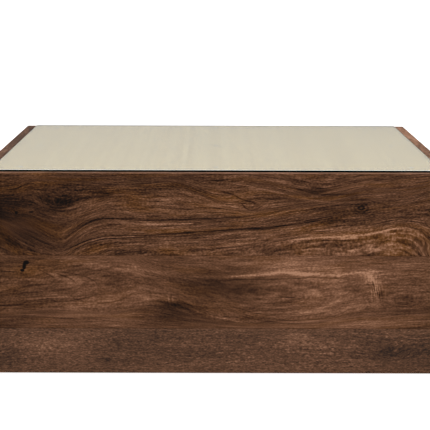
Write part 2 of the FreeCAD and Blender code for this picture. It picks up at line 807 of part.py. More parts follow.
def make_nails():
    """The nails of the glides, their heads let into the nylon."""
    master = new_body("nail_master")
    corners = [
        ("0", "Levels.nail_head_base"),
        ("Sizes.nail_head_radius", "Levels.nail_head_base"),
        ("Sizes.nail_head_radius", "Sizes.nail_recess"),
        ("Sizes.nail_radius", "Sizes.nail_recess"),
        ("Sizes.nail_radius", "Sizes.nail_recess + Sizes.nail_length - Sizes.nail_point"),
        ("0", "Sizes.nail_recess + Sizes.nail_length"),
    ]
    turn_about_z(master, corners)
    solids = []
    for corner in CORNERS:
        x, y = corner_point(corner, "Levels.post_inset")
        solids.append(placed_copy(master, Vector(value(x), value(y), 0)))
    return keep_group("glide_nails", solids)


# ---------------------------------------------------------------- build, check, write

for side in SIDES:
    for level in BOARDS:
        make_board(side, level)
    make_ledger(side)
for corner in CORNERS:
    make_spline(corner)
    make_post(corner)
    make_glide(corner)
make_rail("left", "-")
make_rail("right", "")
make_plywood()
make_wicker()
make_glass()
make_bumpers()
make_post_screws()
make_ledger_screws()
make_ply_screws()
make_rail_screws()
make_staples()
make_nails()
doc.recompute()

for thing in doc.Objects:
    if "Invalid" in thing.State or "Error" in thing.State:
        raise RuntimeError("%s failed: %s" % (thing.Label, thing.State))
for piece in kept:
    if piece.Shape.isNull() or not piece.Shape.isValid() or piece.Shape.Volume <= 0:
        raise RuntimeError("%s has no valid shape" % piece.Label)

os.makedirs("parts", exist_ok=True)
for piece in kept:
    piece.Shape.exportStep("parts/%s.step" % piece.Label)
    print("%-26s %4d solids %12.1f mm3" % (piece.Label, len(piece.Shape.Solids), piece.Shape.Volume))
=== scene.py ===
import math
import random

import bpy
from mathutils import Matrix, Vector


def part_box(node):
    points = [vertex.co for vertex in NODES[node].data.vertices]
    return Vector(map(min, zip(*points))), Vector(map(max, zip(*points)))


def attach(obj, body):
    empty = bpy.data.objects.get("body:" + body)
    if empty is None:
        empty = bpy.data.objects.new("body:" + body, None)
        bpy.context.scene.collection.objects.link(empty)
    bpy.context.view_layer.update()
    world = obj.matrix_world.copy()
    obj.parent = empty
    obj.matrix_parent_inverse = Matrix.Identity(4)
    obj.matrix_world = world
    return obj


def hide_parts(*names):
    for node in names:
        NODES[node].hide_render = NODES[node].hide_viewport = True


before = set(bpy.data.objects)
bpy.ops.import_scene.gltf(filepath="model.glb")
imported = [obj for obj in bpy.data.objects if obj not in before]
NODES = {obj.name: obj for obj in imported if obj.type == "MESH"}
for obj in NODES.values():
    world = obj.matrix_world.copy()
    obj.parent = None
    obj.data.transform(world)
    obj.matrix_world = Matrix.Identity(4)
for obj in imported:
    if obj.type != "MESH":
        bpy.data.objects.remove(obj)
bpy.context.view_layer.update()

CARCASE = "carcase"

bpy.ops.object.select_all(action="DESELECT")
random.seed(7)

# ---------------------------------------------------------------- shader maths


class Value:
    """The output of a node; Python's operators on it add Math nodes."""

    def __init__(self, finish, socket):
        self.finish = finish
        self.socket = socket

    def math(self, operation, *others):
        sockets = dict(enumerate((self,) + others))
        return self.finish.add("Math", sockets, operation=operation)

    def __add__(self, other):
        return self.math("ADD", other)

    __radd__ = __add__

    def __mul__(self, other):
        return self.math("MULTIPLY", other)

    __rmul__ = __mul__

    def __sub__(self, other):
        return self.math("SUBTRACT", other)

    def __rsub__(self, other):
        return self.finish.add("Math", {0: other, 1: self}, operation="SUBTRACT")

    def __truediv__(self, other):
        return self.math("DIVIDE", other)

    def __rtruediv__(self, other):
        return self.finish.add("Math", {0: other, 1: self}, operation="DIVIDE")

    def __pow__(self, other):
        return self.math("POWER", other)


class Finish:
    """A material with a Principled shader, and the nodes that feed it."""

    def __init__(self, name):
        self.material = bpy.data.materials.new(name)
        self.material.use_nodes = True
        self.tree = self.material.node_tree
        self.tree.nodes.clear()
        self.shader = self.add("BsdfPrincipled", {})
        self.output = self.add("OutputMaterial", {"Surface": self.shader}, output=None)

    def add(self, kind, sockets, output=0, **settings):
        """Add a node: its settings first, then what its sockets hold or are linked to."""
        made = self.tree.nodes.new("ShaderNode" + kind)
        for name, setting in settings.items():
            if name == "stops":
                set_stops(made.color_ramp, setting)
            elif name == "curve":
                set_curve(made.mapping, setting)
            else:
                setattr(made, name, setting)
        for name, what in sockets.items():
            self.feed(made.inputs[name], what)
        return made if output is None else Value(self, made.outputs[output])

    def feed(self, socket, what):
        if isinstance(what, Value):
            self.tree.links.new(what.socket, socket)
        else:
            socket.default_value = what

    def set(self, **sockets):
        """Set or link the shader's own sockets, spaces written as underscores."""
        for name, what in sockets.items():
            self.feed(self.shader.socket.node.inputs[name.replace("_", " ")], what)

    def place(self):
        """The three object coordinates, in metres."""
        spot = self.add("TexCoord", {}, output="Object")
        return [self.add("SeparateXYZ", {0: spot}, output=axis) for axis in "XYZ"]

    def vector(self, x, y, z):
        return self.add("CombineXYZ", {0: x, 1: y, 2: z})

    def noise(self, x, y, z, detail=2.0, roughness=0.5):
        shape = {"Scale": 1.0, "Detail": detail, "Roughness": roughness}
        return self.add("TexNoise", {"Vector": self.vector(x, y, z), **shape})

    def step(self, value, start, end, low=0.0, high=1.0):
        """A smooth rise from low to high as value goes from start to end."""
        sockets = {0: value, 1: start, 2: end, 3: low, 4: high}
        return self.add("MapRange", sockets, interpolation_type="SMOOTHSTEP")

    def blend(self, amount, under, over, kind="MIX"):
        sockets = {0: amount, 6: under, 7: over}
        return self.add("Mix", sockets, output=2, data_type="RGBA", blend_type=kind)

    def bump(self, height, strength, distance):
        sockets = {"Height": height, "Strength": strength, "Distance": distance}
        self.set(Normal=self.add("Bump", sockets))


def set_stops(ramp, stops):
    while len(ramp.elements) < len(stops):
        ramp.elements.new(1.0)
    for element, (position, colour) in zip(ramp.elements, stops):
        element.position = position
        element.color = (*colour, 1.0)


def set_curve(mapping, points):
    curve = mapping.curves[0]
    while len(curve.points) < len(points):
        curve.points.new(1.0, 0.0)
    for point, (x, y) in zip(curve.points, points):
        point.location = (x, y)
    mapping.update()


# ---------------------------------------------------------------- the planks' wood

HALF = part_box("front_upper_board")[1].x
TABLE_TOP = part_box("front_upper_board")[1].z
GUIDE_FOOT, GUIDE_SPAN = -0.10, 0.65
HARDWOOD_TONES = [
    (0.00, (0.002, 0.0008, 0.0004)),
    (0.15, (0.010, 0.0036, 0.0014)),
    (0.33, (0.031, 0.0118, 0.0048)),
    (0.50, (0.060, 0.0250, 0.0110)),
    (0.66, (0.098, 0.0430, 0.0215)),
    (0.82, (0.155, 0.0720, 0.0390)),
    (1.00, (0.270, 0.1380, 0.0820)),
]
HONEY = (1.10, 0.98, 0.52, 1.0)
GREYED = (0.100, 0.072, 0.055, 1.0)
MEAN_TONE = 0.495
# Depth of the band along the planks' top edges that is painted lighter: some wear, and a painted
# highlight for the sheen of the light there.
SHEEN_AND_WEAR_BAND = 0.0013


def spot_of(u, w, spot):
    """A soft spot on a plank, 1 at its centre: (along, height, length, width)."""
    at_u, at_w, length, width = spot
    distance = ((u - at_u) / length) ** 2 + ((w - at_w) / width) ** 2
    return 1.0 / (1.0 + distance) ** 2


def line_of(finish, share, points):
    """The height of a line drawn along a plank through (along, height) points."""
    drawn = [((u + HALF) / (2 * HALF), (w - GUIDE_FOOT) / GUIDE_SPAN) for u, w in points]
    if len(drawn) == 1:
        return points[0][1]
    return finish.add("FloatCurve", {"Value": share}, curve=drawn) * GUIDE_SPAN + GUIDE_FOOT


def grain_height(finish, share, w, guides):
    """Height across the grain: it rises by the same amount from each guide line to the next."""
    lines = [line_of(finish, share, points) for points in guides]
    rise = (guides[-1][0][1] - guides[0][0][1]) / (len(guides) - 1)
    height = 0.0
    for low, high in zip(lines, lines[1:]):
        height = height + finish.add("MapRange", {0: w, 1: low, 2: high, 3: 0.0, 4: rise})
    return height


def stroke_of(finish, share, u, w, points, width):
    """A streak drawn along the grain, fading at its ends."""
    begin, end = points[0][0], points[-1][0]
    fade = min((end - begin) * 0.22, 0.045)
    window = finish.step(u, begin, begin + fade) * finish.step(u, end - fade, end, 1.0, 0.0)
    distance = (w - line_of(finish, share, points)) / width
    return window / (1.0 + distance * distance) ** 2


def plank_wood(name, along, figure):
    """Dark, strongly figured hardwood, oiled to a low sheen.

    along is the axis the plank runs on. The figure's guide lines say how the grain flows and its
    bumps where the flow swells round a knot or a heart. shading and shades are broad changes of
    tone, strokes are single streaks, calm is where the grain is quiet, knots have rings, curls
    cross the grain, and cuts are cracks and pits.
    """
    finish = Finish(name)
    x, y, z = finish.place()
    u, depth = (x, y) if along == "x" else (y, x)
    seed = figure["seed"]
    far = u + seed * 3.7
    share = (u + HALF) / (2 * HALF)
    inward = HALF - depth.math("ABSOLUTE")

    wander = finish.noise(far * 5.0, z * 14.0, depth * 14.0) - 0.5
    ripple = finish.noise(far * 38.0, z * 90.0, depth * 90.0, 2.0) - 0.5
    w = z + inward * 0.6 + wander * figure.get("wander", 0.008)
    flow = grain_height(finish, share, w, figure["guides"])
    swell = 0.0
    for spot, lift in figure.get("bumps", ()):
        swell = swell + spot_of(u, w, spot) * lift
    height = flow + swell * figure.get("swell_share", 0.35) + ripple * figure.get("ripple", 0.0022)
    rings = flow * figure.get("ring_share", 1.0) + swell + ripple * 0.0015

    bands = finish.noise(rings * 60.0, far * 2.4, seed, 3.0, 0.6) - 0.5
    contours = finish.noise(rings * 170.0, far * 3.0, seed + 2.0, 3.0, 0.65) - 0.5
    lines = finish.noise(height * 230.0, far * 9.0, depth * 20.0, 3.0, 0.65) - 0.5
    fibre_run = far * figure.get("fibre", 30.0)
    fibres = finish.noise(height * 500.0, fibre_run, depth * 60.0, 2.0, 0.6) - 0.5
    flecks = finish.noise(height * 620.0, far * 190.0, depth * 520.0, 2.0) - 0.5
    pores = finish.step(finish.noise(height * 1500.0, far * 60.0, depth * 1500.0), 0.60, 0.72)
    patches = finish.noise(far * 7.0, z * 26.0, depth * 26.0, 3.0) - 0.5
    dark_lines = finish.step(finish.noise(rings * 150.0, far * 1.7, seed + 4.0, 2.0), 0.60, 0.72)

    figured = bands * figure.get("bands", 0.45) + contours * figure.get("contours", 0.40)
    figured = figured + lines * figure.get("lines", 0.36) + fibres * figure.get("fibres", 1.20)
    figured = figured + flecks * figure.get("flecks", 0.98) - dark_lines * 0.10 - pores * 0.06
    for strength, spot in figure.get("calm", ()):
        figured = figured * (1.0 - spot_of(u, z, spot) * strength)
    tone = MEAN_TONE + figure.get("shade", 0.0) + figured + patches * 0.30
    for level, points in figure.get("shading", ()):
        window = finish.step((z - level).math("ABSOLUTE"), 0.0, figure["reach"], 1.0, 0.0)
        shade = finish.add("FloatCurve", {"Value": share}, curve=points) - 0.5
        tone = tone + shade * window
    rough_u, rough_w = u + patches * 0.03, w + patches * 0.012 + lines * 0.006
    for strength, spot in figure.get("shades", ()):
        tone = tone + spot_of(rough_u, rough_w, spot) * strength
    uneven = 0.75 + lines * 1.6 + flecks * 0.8
    for strength, width, points in figure.get("strokes", ()):
        stroke = stroke_of(finish, share, u, z + patches * 0.003, points, width)
        tone = tone + stroke * uneven * strength
    for strength, spot in figure.get("knots", ()):
        reach = (((u - spot[0]) / spot[2]) ** 2 + ((w - spot[1]) / spot[3]) ** 2) ** 0.5
        knot_rings = (reach * 17.0 + patches * 9.0 + lines * 3.0).math("SINE")
        tone = tone + knot_rings * spot_of(u, w, spot) * strength
    for strength, spot in figure.get("curls", ()):
        curl = finish.noise(u * 230.0 + z * 40.0, z * 38.0, seed) - 0.45
        tone = tone + curl * spot_of(u, z, spot) * strength
    # The top edges are painted lighter: partly wear, partly a painted highlight standing in for the
    # sheen the light makes on them.
    top_edge_sheen_and_wear = finish.step(z, TABLE_TOP - SHEEN_AND_WEAR_BAND, TABLE_TOP - 0.0002)
    tone = tone + top_edge_sheen_and_wear * figure.get("worn", 0.20)
    cuts = 0.0
    for strength, spot in figure.get("cuts", ()):
        ragged = spot_of(u + ripple * 0.006, z + ripple * 0.004, spot)
        cuts = cuts + finish.step(ragged, 0.12, 0.40) * strength
    tone = tone - cuts

    colour = finish.add("ValToRGB", {"Fac": tone}, stops=HARDWOOD_TONES)
    golden = finish.noise(far * 7.0 + 2.0, height * 40.0, seed, 3.0)
    honey = finish.step(golden, 0.45, 0.75) * figure.get("honey", 0.5)
    for strength, spot in figure.get("honey_spots", ()):
        honey = honey + spot_of(rough_u, rough_w, spot) * strength
    honey = honey.math("MINIMUM", 1.0) * finish.step(tone, 0.56, 0.80, 1.0, 0.15)
    colour = finish.blend(honey, colour, finish.blend(1.0, colour, HONEY, "MULTIPLY"))
    if "pale" in figure:
        colour = finish.blend(figure["pale"], colour, GREYED)
    finish.set(Base_Color=colour, Specular_IOR_Level=0.06)
    finish.set(Roughness=0.58 - fibres * 0.3 + pores * 0.1)
    finish.bump(fibres - pores * 0.6 + flecks * 0.5 - cuts * 0.6, 0.25, 0.0005)
    return finish.material


def plain_figure(seed, low, high):
    """A random but repeatable figure, for the planks of the sides and the back."""
    chance = random.Random(seed)
    places = [-HALF + k * HALF / 4 for k in range(9)]
    guides = []
    sway = [chance.uniform(-0.016, 0.016) for _ in places]
    for k in range(5):
        level = low - 0.02 + (high - low + 0.04) * k / 4
        sway = [0.7 * bend + chance.uniform(-0.009, 0.009) for bend in sway]
        guides.append([(u, level + bend) for u, bend in zip(places, sway)])
    bumps, shades, cuts, strokes = [], [], [], []
    heart = chance.uniform(low + 0.03, high - 0.03), chance.choice((-0.55, 0.0, 0.55))
    bump = heart[1] + chance.uniform(-0.1, 0.1), heart[0], chance.uniform(0.12, 0.28), 0.026
    bumps.append((bump, 0.055))
    if chance.random() < 0.6:
        knot = chance.uniform(-0.4, 0.4), chance.uniform(low + 0.02, high - 0.02)
        bumps.append(((*knot, 0.018, 0.010), 0.018))
        shades.append((-0.24, (*knot, 0.020, 0.011)))
        cuts.append((0.25, (*knot, 0.004, 0.0015)))
    for _ in range(6):
        at_u, at_w = chance.uniform(-0.5, 0.5), chance.uniform(low, high)
        strength, length = chance.uniform(-0.16, 0.10), chance.uniform(0.05, 0.14)
        shades.append((strength, (at_u, at_w, length, 0.022)))
    for _ in range(4):
        begin, level = chance.uniform(-0.45, 0.1), chance.uniform(low, high)
        steps = [(begin + 0.1 * k, level + chance.uniform(-0.006, 0.006)) for k in range(4)]
        strokes.append((chance.choice((-0.22, -0.16, 0.20)), chance.uniform(0.0015, 0.004), steps))
    tone = [(k / 8, chance.uniform(0.42, 0.58)) for k in range(9)]
    return {
        "seed": seed, "guides": guides, "bumps": bumps, "shades": shades, "cuts": cuts,
        "strokes": strokes, "shading": [((low + high) / 2, tone)], "reach": 0.12,
    }


FRONT_FIGURES = {
    "upper": {
        "seed": 1,
        "guides": [
            [(-0.508, 0.190), (0.508, 0.190)],
            [(-0.46, 0.220), (-0.30, 0.232), (-0.20, 0.262), (0.00, 0.272), (0.15, 0.291),
             (0.21, 0.298), (0.28, 0.301), (0.33, 0.308), (0.375, 0.318), (0.41, 0.319),
             (0.456, 0.300), (0.508, 0.260)],
            [(-0.508, 0.345), (-0.46, 0.325), (-0.41, 0.291), (-0.354, 0.269), (-0.326, 0.263),
             (-0.30, 0.278), (-0.253, 0.298), (-0.21, 0.302), (-0.14, 0.304), (0.0, 0.313),
             (0.094, 0.319), (0.158, 0.326), (0.20, 0.333), (0.285, 0.350), (0.354, 0.357),
             (0.456, 0.375)],
            [(-0.508, 0.357), (-0.46, 0.343), (-0.396, 0.319), (-0.354, 0.298), (-0.328, 0.291),
             (-0.307, 0.302), (-0.279, 0.323), (-0.247, 0.335), (-0.194, 0.336), (-0.14, 0.333),
             (0.0, 0.337), (0.094, 0.345), (0.179, 0.360), (0.25, 0.370), (0.307, 0.378),
             (0.40, 0.383), (0.456, 0.397)],
            [(-0.46, 0.372), (-0.396, 0.366), (-0.332, 0.349), (-0.268, 0.362), (-0.226, 0.377),
             (-0.14, 0.373), (0.0, 0.366), (0.073, 0.360), (0.10, 0.364), (0.179, 0.374),
             (0.25, 0.382), (0.307, 0.393), (0.40, 0.400), (0.456, 0.411)],
            [(-0.46, 0.398), (-0.425, 0.402), (-0.396, 0.415), (-0.311, 0.413), (-0.226, 0.408),
             (-0.14, 0.412), (-0.083, 0.415), (-0.034, 0.400), (0.01, 0.388), (0.051, 0.394),
             (0.10, 0.400), (0.153, 0.392), (0.20, 0.385), (0.25, 0.391), (0.307, 0.403),
             (0.40, 0.409), (0.456, 0.419)],
            [(-0.46, 0.427), (-0.20, 0.430), (0.00, 0.428), (0.07, 0.427), (0.15, 0.414),
             (0.22, 0.403), (0.28, 0.412), (0.35, 0.423), (0.456, 0.432)],
            [(-0.508, 0.460), (0.508, 0.460)],
        ],
        "bumps": [
            ((0.307, 0.3635, 0.020, 0.011), 0.022),
            ((0.078, 0.364, 0.024, 0.010), 0.014),
            ((-0.422, 0.351, 0.010, 0.007), 0.014),
            ((-0.335, 0.369, 0.045, 0.015), 0.018),
            ((-0.230, 0.394, 0.018, 0.012), 0.012),
            ((0.470, 0.262, 0.045, 0.030), 0.040),
        ],
        "calm": [(0.75, (-0.415, 0.320, 0.130, 0.060))],
        "knots": [(0.22, (0.307, 0.3635, 0.023, 0.0145)), (0.12, (-0.422, 0.351, 0.012, 0.009))],
        "reach": 0.055,
        "shading": [
            (0.408, [(0.0, 0.26), (0.10, 0.36), (0.25, 0.36), (0.40, 0.42), (0.60, 0.48),
                     (0.85, 0.46), (1.0, 0.48)]),
            (0.348, [(0.0, 0.24), (0.10, 0.30), (0.20, 0.42), (0.30, 0.50), (0.60, 0.53),
                     (0.75, 0.42), (1.0, 0.48)]),
            (0.284, [(0.0, 0.26), (0.12, 0.34), (0.24, 0.54), (0.45, 0.57), (0.60, 0.61),
                     (0.86, 0.63), (1.0, 0.42)]),
        ],
        "shades": [
            (-0.30, (-0.462, 0.357, 0.040, 0.022)),
            (-0.34, (-0.330, 0.370, 0.040, 0.017)),
            (-0.12, (-0.400, 0.300, 0.060, 0.022)),
            (-0.16, (-0.236, 0.394, 0.016, 0.014)),
            (0.12, (-0.262, 0.364, 0.028, 0.020)),
            (0.10, (-0.110, 0.318, 0.110, 0.008)),
            (-0.22, (-0.210, 0.270, 0.035, 0.004)),
            (0.10, (0.020, 0.380, 0.060, 0.016)),
            (-0.20, (0.205, 0.399, 0.040, 0.011)),
            (-0.38, (0.307, 0.3635, 0.018, 0.0095)),
            (-0.14, (0.245, 0.334, 0.060, 0.008)),
            (-0.16, (0.260, 0.287, 0.045, 0.005)),
            (-0.16, (0.450, 0.290, 0.020, 0.012)),
        ],
        "strokes": [
            (-0.60, 0.0018, [(-0.335, 0.262), (-0.30, 0.280), (-0.253, 0.298), (-0.21, 0.302),
                             (-0.14, 0.304), (0.0, 0.313), (0.094, 0.320), (0.158, 0.327),
                             (0.24, 0.341)]),
            (-0.50, 0.0014, [(-0.325, 0.258), (-0.295, 0.275), (-0.253, 0.292), (-0.21, 0.297),
                             (-0.14, 0.300), (-0.05, 0.303), (0.02, 0.307)]),
            (0.32, 0.0014, [(-0.325, 0.262), (-0.295, 0.279), (-0.253, 0.295), (-0.21, 0.2995),
                            (-0.14, 0.302), (-0.08, 0.304)]),
            (-0.40, 0.0030, [(-0.31, 0.300), (-0.279, 0.325), (-0.247, 0.338), (-0.194, 0.339),
                             (-0.14, 0.336), (0.0, 0.340), (0.08, 0.345)]),
            (0.24, 0.0022, [(-0.308, 0.294), (-0.29, 0.305), (-0.253, 0.324), (-0.21, 0.330),
                            (-0.14, 0.327), (-0.03, 0.329)]),
            (0.14, 0.0016, [(-0.46, 0.322), (-0.41, 0.287), (-0.36, 0.268), (-0.32, 0.262)]),
            (-0.26, 0.0040, [(-0.02, 0.310), (0.03, 0.313), (0.094, 0.317), (0.158, 0.324)]),
            (-0.30, 0.0014, [(-0.10, 0.417), (-0.075, 0.413), (-0.034, 0.398), (0.0, 0.385),
                             (0.02, 0.378)]),
            (0.22, 0.0030, [(-0.085, 0.400), (-0.05, 0.392), (0.0, 0.372), (0.03, 0.366)]),
            (-0.46, 0.0020, [(0.0, 0.400), (0.012, 0.3977), (0.037, 0.3904), (0.056, 0.3797),
                             (0.078, 0.3743), (0.092, 0.3655), (0.098, 0.3600)]),
            (-0.42, 0.0018, [(0.048, 0.378), (0.054, 0.3720), (0.062, 0.3625), (0.076, 0.3583),
                             (0.092, 0.3636), (0.100, 0.368)]),
            (-0.20, 0.0018, [(0.05, 0.396), (0.09, 0.388), (0.13, 0.376), (0.150, 0.364)]),
            (-0.18, 0.0018, [(0.04, 0.346), (0.09, 0.348), (0.13, 0.354), (0.150, 0.364)]),
            (0.26, 0.0018, [(0.01, 0.420), (0.07, 0.409), (0.13, 0.396), (0.19, 0.382),
                            (0.247, 0.375), (0.30, 0.380)]),
            (-0.30, 0.0024, [(0.15, 0.412), (0.18, 0.400), (0.22, 0.392), (0.27, 0.392),
                             (0.31, 0.396)]),
            (-0.22, 0.0016, [(0.25, 0.365), (0.28, 0.377), (0.31, 0.381), (0.34, 0.375),
                             (0.37, 0.367)]),
            (0.52, 0.0034, [(0.13, 0.289), (0.17, 0.295), (0.211, 0.300), (0.281, 0.302),
                            (0.334, 0.309), (0.375, 0.319), (0.425, 0.321)]),
            (-0.24, 0.0026, [(0.17, 0.287), (0.22, 0.292), (0.281, 0.294), (0.334, 0.300),
                             (0.37, 0.307)]),
            (0.20, 0.0020, [(0.34, 0.300), (0.38, 0.309), (0.41, 0.308), (0.44, 0.295),
                            (0.46, 0.275), (0.47, 0.262)]),
            (0.20, 0.0018, [(0.34, 0.288), (0.38, 0.299), (0.41, 0.296), (0.43, 0.284),
                            (0.445, 0.266)]),
        ],
        "cuts": [
            (0.50, (-0.391, 0.353, 0.0050, 0.0014)),
            (0.30, (-0.422, 0.351, 0.0030, 0.0030)),
            (0.18, (-0.141, 0.392, 0.0030, 0.0012)),
        ],
        "honey": 1.1,
        "honey_spots": [
            (0.9, (0.310, 0.300, 0.090, 0.022)),
            (0.3, (0.420, 0.300, 0.050, 0.020)),
            (0.6, (-0.420, 0.405, 0.080, 0.018)),
            (0.5, (0.020, 0.380, 0.100, 0.030)),
        ],
    },
    "middle": {
        "seed": 2,
        "shade": 0.028,
        "guides": [
            [(-0.508, 0.085), (0.508, 0.085)],
            [(-0.46, 0.124), (-0.33, 0.124), (-0.20, 0.122), (-0.10, 0.115), (0.0, 0.109),
             (0.14, 0.104), (0.28, 0.113), (0.456, 0.122)],
            [(-0.46, 0.135), (-0.33, 0.141), (-0.23, 0.137), (-0.14, 0.152), (-0.08, 0.141),
             (-0.03, 0.126), (0.05, 0.115), (0.14, 0.119), (0.25, 0.127), (0.29, 0.139),
             (0.35, 0.145), (0.456, 0.143)],
            [(-0.46, 0.232), (-0.33, 0.239), (-0.20, 0.246), (-0.10, 0.224), (0.02, 0.213),
             (0.10, 0.215), (0.18, 0.217), (0.28, 0.224), (0.35, 0.228), (0.456, 0.232)],
            [(-0.508, 0.280), (0.508, 0.280)],
        ],
        "bumps": [
            ((-0.620, 0.196, 0.460, 0.055), 0.085),
            ((0.115, 0.170, 0.140, 0.034), 0.060),
            ((0.402, 0.165, 0.050, 0.020), 0.030),
            ((-0.408, 0.238, 0.010, 0.008), 0.006),
        ],
        "ring_share": 0.22,
        "swell_share": 0.10,
        "contours": 0.46,
        "lines": 0.20,
        "fibres": 0.80,
        "flecks": 0.66,
        "calm": [(0.55, (0.030, 0.190, 0.130, 0.045))],
        "knots": [(0.075, (0.100, 0.183, 0.085, 0.028)), (0.04, (0.402, 0.165, 0.050, 0.020))],
        "reach": 0.070,
        "shading": [
            (0.222, [(0.0, 0.36), (0.12, 0.48), (0.30, 0.56), (0.42, 0.46), (0.52, 0.50),
                     (0.65, 0.66), (0.78, 0.68), (1.0, 0.48)]),
            (0.142, [(0.0, 0.40), (0.15, 0.50), (0.27, 0.60), (0.42, 0.40), (0.55, 0.52),
                     (0.75, 0.64), (0.90, 0.52), (1.0, 0.44)]),
        ],
        "shades": [
            (-0.16, (-0.060, 0.200, 0.030, 0.024)),
            (-0.18, (-0.100, 0.152, 0.035, 0.009)),
            (-0.18, (-0.115, 0.127, 0.045, 0.008)),
            (-0.24, (0.080, 0.186, 0.060, 0.016)),
            (-0.20, (0.000, 0.200, 0.050, 0.024)),
            (0.14, (0.215, 0.175, 0.055, 0.018)),
            (-0.14, (0.402, 0.165, 0.036, 0.012)),
            (-0.12, (0.380, 0.200, 0.050, 0.025)),
            (0.24, (0.327, 0.215, 0.016, 0.012)),
            (0.16, (-0.145, 0.170, 0.025, 0.007)),
            (0.16, (-0.195, 0.108, 0.050, 0.005)),
            (0.16, (0.070, 0.242, 0.110, 0.006)),
        ],
        "strokes": [
            (0.34, 0.0042, [(0.0, 0.211), (0.0835, 0.2186), (0.148, 0.2234), (0.197, 0.2212),
                            (0.248, 0.2186), (0.297, 0.2240), (0.370, 0.2280)]),
            (-0.30, 0.0020, [(0.0, 0.206), (0.060, 0.2085), (0.119, 0.2094), (0.205, 0.2131),
                             (0.300, 0.2094)]),
            (-0.26, 0.0016, [(-0.380, 0.228), (-0.3516, 0.2262), (-0.298, 0.2190),
                             (-0.262, 0.2060), (-0.246, 0.1900), (-0.238, 0.1780)]),
            (-0.32, 0.0016, [(-0.520, 0.1515), (-0.4515, 0.1515), (-0.398, 0.1532),
                             (-0.317, 0.1608), (-0.274, 0.1695), (-0.248, 0.1800),
                             (-0.236, 0.1900)]),
            (-0.22, 0.0016, [(-0.330, 0.242), (-0.280, 0.2328), (-0.202, 0.2168),
                             (-0.170, 0.2040), (-0.154, 0.1913), (-0.146, 0.1800)]),
            (-0.26, 0.0016, [(-0.340, 0.150), (-0.2525, 0.1549), (-0.2055, 0.1630),
                             (-0.180, 0.1760), (-0.156, 0.1880), (-0.148, 0.1950)]),
            (-0.24, 0.0018, [(-0.385, 0.234), (-0.366, 0.2240), (-0.347, 0.2131),
                             (-0.338, 0.2030)]),
            (-0.20, 0.0018, [(-0.420, 0.189), (-0.381, 0.1950), (-0.350, 0.2000),
                             (-0.335, 0.2080)]),
            (-0.26, 0.0020, [(-0.345, 0.224), (-0.3295, 0.2175), (-0.308, 0.2088),
                             (-0.297, 0.1985), (-0.291, 0.1900)]),
            (-0.22, 0.0018, [(-0.400, 0.178), (-0.3766, 0.1804), (-0.334, 0.1848),
                             (-0.301, 0.1925), (-0.290, 0.1990)]),
            (0.16, 0.0020, [(-0.46, 0.210), (-0.40, 0.208), (-0.37, 0.212), (-0.33, 0.236)]),
            (0.18, 0.0020, [(-0.46, 0.163), (-0.38, 0.166), (-0.30, 0.175), (-0.26, 0.187)]),
            (-0.26, 0.0016, [(-0.46, 0.122), (-0.38, 0.125), (-0.28, 0.121)]),
            (0.24, 0.0018, [(-0.46, 0.134), (-0.40, 0.131), (-0.34, 0.128), (-0.28, 0.127)]),
            (0.26, 0.0026, [(-0.075, 0.150), (-0.041, 0.139), (-0.011, 0.130), (0.027, 0.122),
                            (0.058, 0.115), (0.085, 0.112)]),
            (0.18, 0.0020, [(-0.150, 0.142), (-0.123, 0.139), (-0.071, 0.1268), (-0.034, 0.1207)]),
            (-0.12, 0.0050, [(-0.150, 0.168), (-0.110, 0.158), (-0.060, 0.148), (-0.010, 0.138)]),
            (-0.26, 0.0014, [(0.0, 0.156), (0.035, 0.140), (0.105, 0.124), (0.18, 0.121),
                             (0.25, 0.130), (0.29, 0.146)]),
            (-0.22, 0.0014, [(0.01, 0.164), (0.05, 0.146), (0.11, 0.132), (0.18, 0.130),
                             (0.24, 0.139), (0.27, 0.150)]),
            (-0.22, 0.0014, [(0.02, 0.150), (0.06, 0.129), (0.12, 0.116), (0.19, 0.113),
                             (0.26, 0.121)]),
            (0.18, 0.0014, [(0.03, 0.148), (0.07, 0.133), (0.12, 0.120), (0.18, 0.117),
                            (0.25, 0.126)]),
            (0.22, 0.0030, [(0.27, 0.118), (0.31, 0.116), (0.36, 0.118), (0.42, 0.124)]),
            (0.12, 0.0014, [(0.37, 0.168), (0.41, 0.160), (0.45, 0.164), (0.48, 0.172)]),
        ],
        "curls": [(3.4, (0.343, 0.182, 0.014, 0.018)), (1.8, (0.335, 0.212, 0.016, 0.014)), (2.0,
                  (-0.095, 0.168, 0.010, 0.010))],
        "cuts": [
            (0.75, (-0.4030, 0.2442, 0.0052, 0.0042)),
            (0.75, (-0.4075, 0.2360, 0.0032, 0.0062)),
            (0.75, (-0.4115, 0.2275, 0.0040, 0.0034)),
            (0.28, (-0.4400, 0.2240, 0.0180, 0.0012)),
            (0.34, (0.1580, 0.1700, 0.0110, 0.0018)),
        ],
        "honey": 0.5,
        "honey_spots": [(0.9, (-0.400, 0.225, 0.050, 0.018))],
    },
    "lower": {
        "seed": 3,
        "shade": 0.020,
        "pale": 0.10,
        "guides": [
            [(-0.508, -0.020), (0.508, -0.020)],
            [(-0.46, 0.020), (-0.30, 0.026), (-0.10, 0.018), (0.10, 0.024), (0.30, 0.016),
             (0.456, 0.030)],
            [(-0.46, 0.072), (-0.38, 0.078), (-0.30, 0.070), (-0.10, 0.064), (0.06, 0.072),
             (0.14, 0.080), (0.30, 0.072), (0.36, 0.066), (0.41, 0.078), (0.456, 0.080)],
            [(-0.508, 0.120), (0.508, 0.120)],
        ],
        "wander": 0.016,
        "ripple": 0.0075,
        "fibre": 95.0,
        "lines": 0.15,
        "bands": 0.24,
        "contours": 0.15,
        "fibres": 0.95,
        "flecks": 0.88,
        "bumps": [((0.400, 0.094, 0.030, 0.010), 0.022), ((0.390, 0.040, 0.040, 0.020), 0.020)],
        "reach": 0.070,
        "shading": [
            (0.060, [(0.0, 0.38), (0.15, 0.50), (0.35, 0.46), (0.45, 0.50), (0.62, 0.56),
                     (0.75, 0.56), (0.9, 0.44), (1.0, 0.44)]),
        ],
        "shades": [
